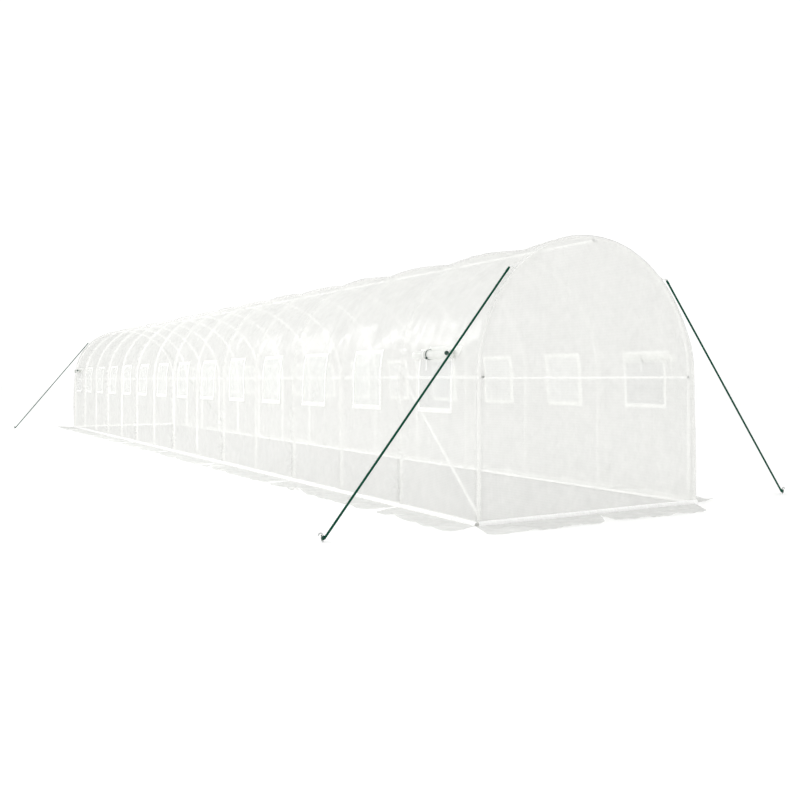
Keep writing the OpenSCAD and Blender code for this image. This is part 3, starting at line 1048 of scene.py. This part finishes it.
def make_rope(word):
    """A twisted guy rope, wound on its peg and whipped at its upper end."""
    foot, top, along, radius = rope_ends(word)
    sheets = Sheets()
    twisted(sheets, [foot, top], radius)
    peg_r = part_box("ground_pegs")[1].y - hoop_y[-1]
    sign = math.copysign(1, foot[0])
    peg_x = foot[0] + sign * (radius * abs(along[2]) + peg_r)
    coil(sheets, (peg_x, foot[1], peg_coil_z), (0, 0, 1), peg_r + 0.5 * radius, 0.45 * radius, 3.0)
    coil(sheets, top - whip_down * along, along, 0.85 * radius, 0.28 * radius, 5.0)
    made = sheets.build(f"{word}_twisted_rope", rope_look, "guy_rope")
    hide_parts(f"{word}_rope")


def make_loops():
    """The short white cords that loop through the ropes' upper ends and tie them to the cover."""
    sheets = Sheets()
    for word in corners:
        top, along, radius = rope_ends(word)[1:]
        sign = math.copysign(1, top[0])
        turn = math.acos(abs(top[0]) / math.hypot(top[0], top[2] - spring_z)) + 0.06
        girth = spring_z + turn * wall_x
        spot = cover_points(on_side(sign < 0, girth), top[1])
        for offset in (-loop_half, loop_half):
            side = np.array([0, offset, 0])
            over = top + (radius + loop_r) * along + side * 0.4
            share = np.linspace(0, 1, 12)[:, None]
            run = spot + (over - spot) * share + side * (1 - share)
            run = run - np.array([0, 0, loop_sag]) * np.sin(math.pi * share)
            down = over + np.arange(1, 5)[:, None] * np.array([sign * 0.002, 0, -0.004])
            tube(sheets, np.concatenate([run, down]), loop_r)
    made = sheets.build("rope_loop_cords", webbing_look, "white_tape")
    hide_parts("rope_loops")


# Studio

def area_light(name, spot, aim, size, power, glint=False):
    """Makes a soft panel that faces a point. A glint only shows in gloss, and the others only light."""
    data = bpy.data.lights.new(name, "AREA")
    data.shape = "RECTANGLE"
    data.size, data.size_y = size
    data.energy = power
    made = bpy.data.objects.new(name, data)
    made.location = spot
    made.rotation_euler = (Vector(aim) - Vector(spot)).to_track_quat("-Z", "Y").to_euler()
    made.visible_camera = False
    made.visible_glossy = glint
    made.visible_diffuse = not glint
    bpy.context.scene.collection.objects.link(made)
    return made


def frame_group():
    """The frame's tubes, for the panel that shows them through the sheet from the far side as well."""
    group = bpy.data.collections.new("frame_tubes")
    for row in frame["record"]["subparts"]:
        if row["material_slot"] == "frame_tube":
            group.objects.link(nodes[row["node"]])
    return group


def make_glints():
    """Small panels, one for each of the nearest bays, which the sheet above its window mirrors."""
    facing = Vector(glint_facing).normalized()
    for i, power in enumerate(glint_powers):
        spot = Vector((glint_x, hoop_y[i] + glint_share * bay_len, glint_z))
        sight = (Vector(camera_spot) - spot).normalized()
        mirror = 2 * facing.dot(sight) * facing - sight
        panel_spot = spot + glint_reach * mirror
        area_light(f"glint_panel_{i + 1}", panel_spot, spot, glint_size, power, glint=True)


def make_studio():
    """A pale floor, an even white room and soft panels."""
    floor_half = 120.0
    around = ((-1, -1), (1, -1), (1, 1), (-1, 1))
    floor = make_mesh("floor", [(floor_half * x, floor_half * y, 0) for x, y in around], [(0, 1, 2, 3)])
    floor.data.materials.append(floor_material())
    world = bpy.data.worlds.new("white_room")
    world.use_nodes = True
    tree = world.node_tree
    room = next(n for n in tree.nodes if n.type == "BACKGROUND")
    room.inputs["Color"].default_value = (1.0, 1.0, 0.995, 1)
    strength = fit(tree, seen_past(tree, 1), 0.0, 1.0, room_light, room_light * room_through)
    mirrored = add_node(tree, "ShaderNodeLightPath").outputs["Is Glossy Ray"]
    strength = calc(tree, "MULTIPLY", strength, fit(tree, mirrored, 0.0, 1.0, 1.0, room_mirrored))
    tree.links.new(strength, room.inputs["Strength"])
    bpy.context.scene.world = world
    area_light("side_panel", (-5.5, -0.5, 4.4), (-0.9, -1.0, 1.3), (9.0, 0.8), 75)
    area_light("sky_panel", (-7.9, 4.0, 8.9), (-0.95, -4.0, 1.4), (3.4, 3.4), 295)
    frame_panel = area_light("frame_panel", (5.0, 1.5, 3.6), (0.8, 1.5, 1.2), (14.0, 1.2), 800)
    frame_panel.light_linking.receiver_collection = frame_group()
    area_light("top_panel", (0.0, 0.0, 7.0), (0.0, 0.0, 0.0), (2.4, 13.0), 38)
    make_glints()
    bpy.context.scene.view_settings.view_transform = "Standard"


def make_camera():
    """The photograph's view: level, a little below eye height, off the front left corner."""
    image_px = 800
    focal_px = 871.0
    horizon_px = 380.0
    heading = math.radians(30.69)
    data = bpy.data.cameras.new("camera")
    data.sensor_width = 36.0
    data.lens = focal_px / image_px * data.sensor_width
    data.shift_y = (horizon_px - image_px / 2) / image_px
    camera = bpy.data.objects.new("camera", data)
    camera.location = camera_spot
    camera.rotation_euler = (math.radians(90), 0, -heading)
    bpy.context.scene.collection.objects.link(camera)
    bpy.context.scene.camera = camera


make_camera()
finish_frame()
for section in range(len(section_ends) - 1):
    make_section(section)
make_end("front", -1)
make_end("back", 1)
make_windows(True)
make_windows(False)
make_rolls()
make_side_skirt("left", -1)
make_side_skirt("right", 1)
make_end_skirt("front", -1)
make_end_skirt("back", 1)
for corner_name in corners:
    make_rope(corner_name)
make_loops()
make_studio()
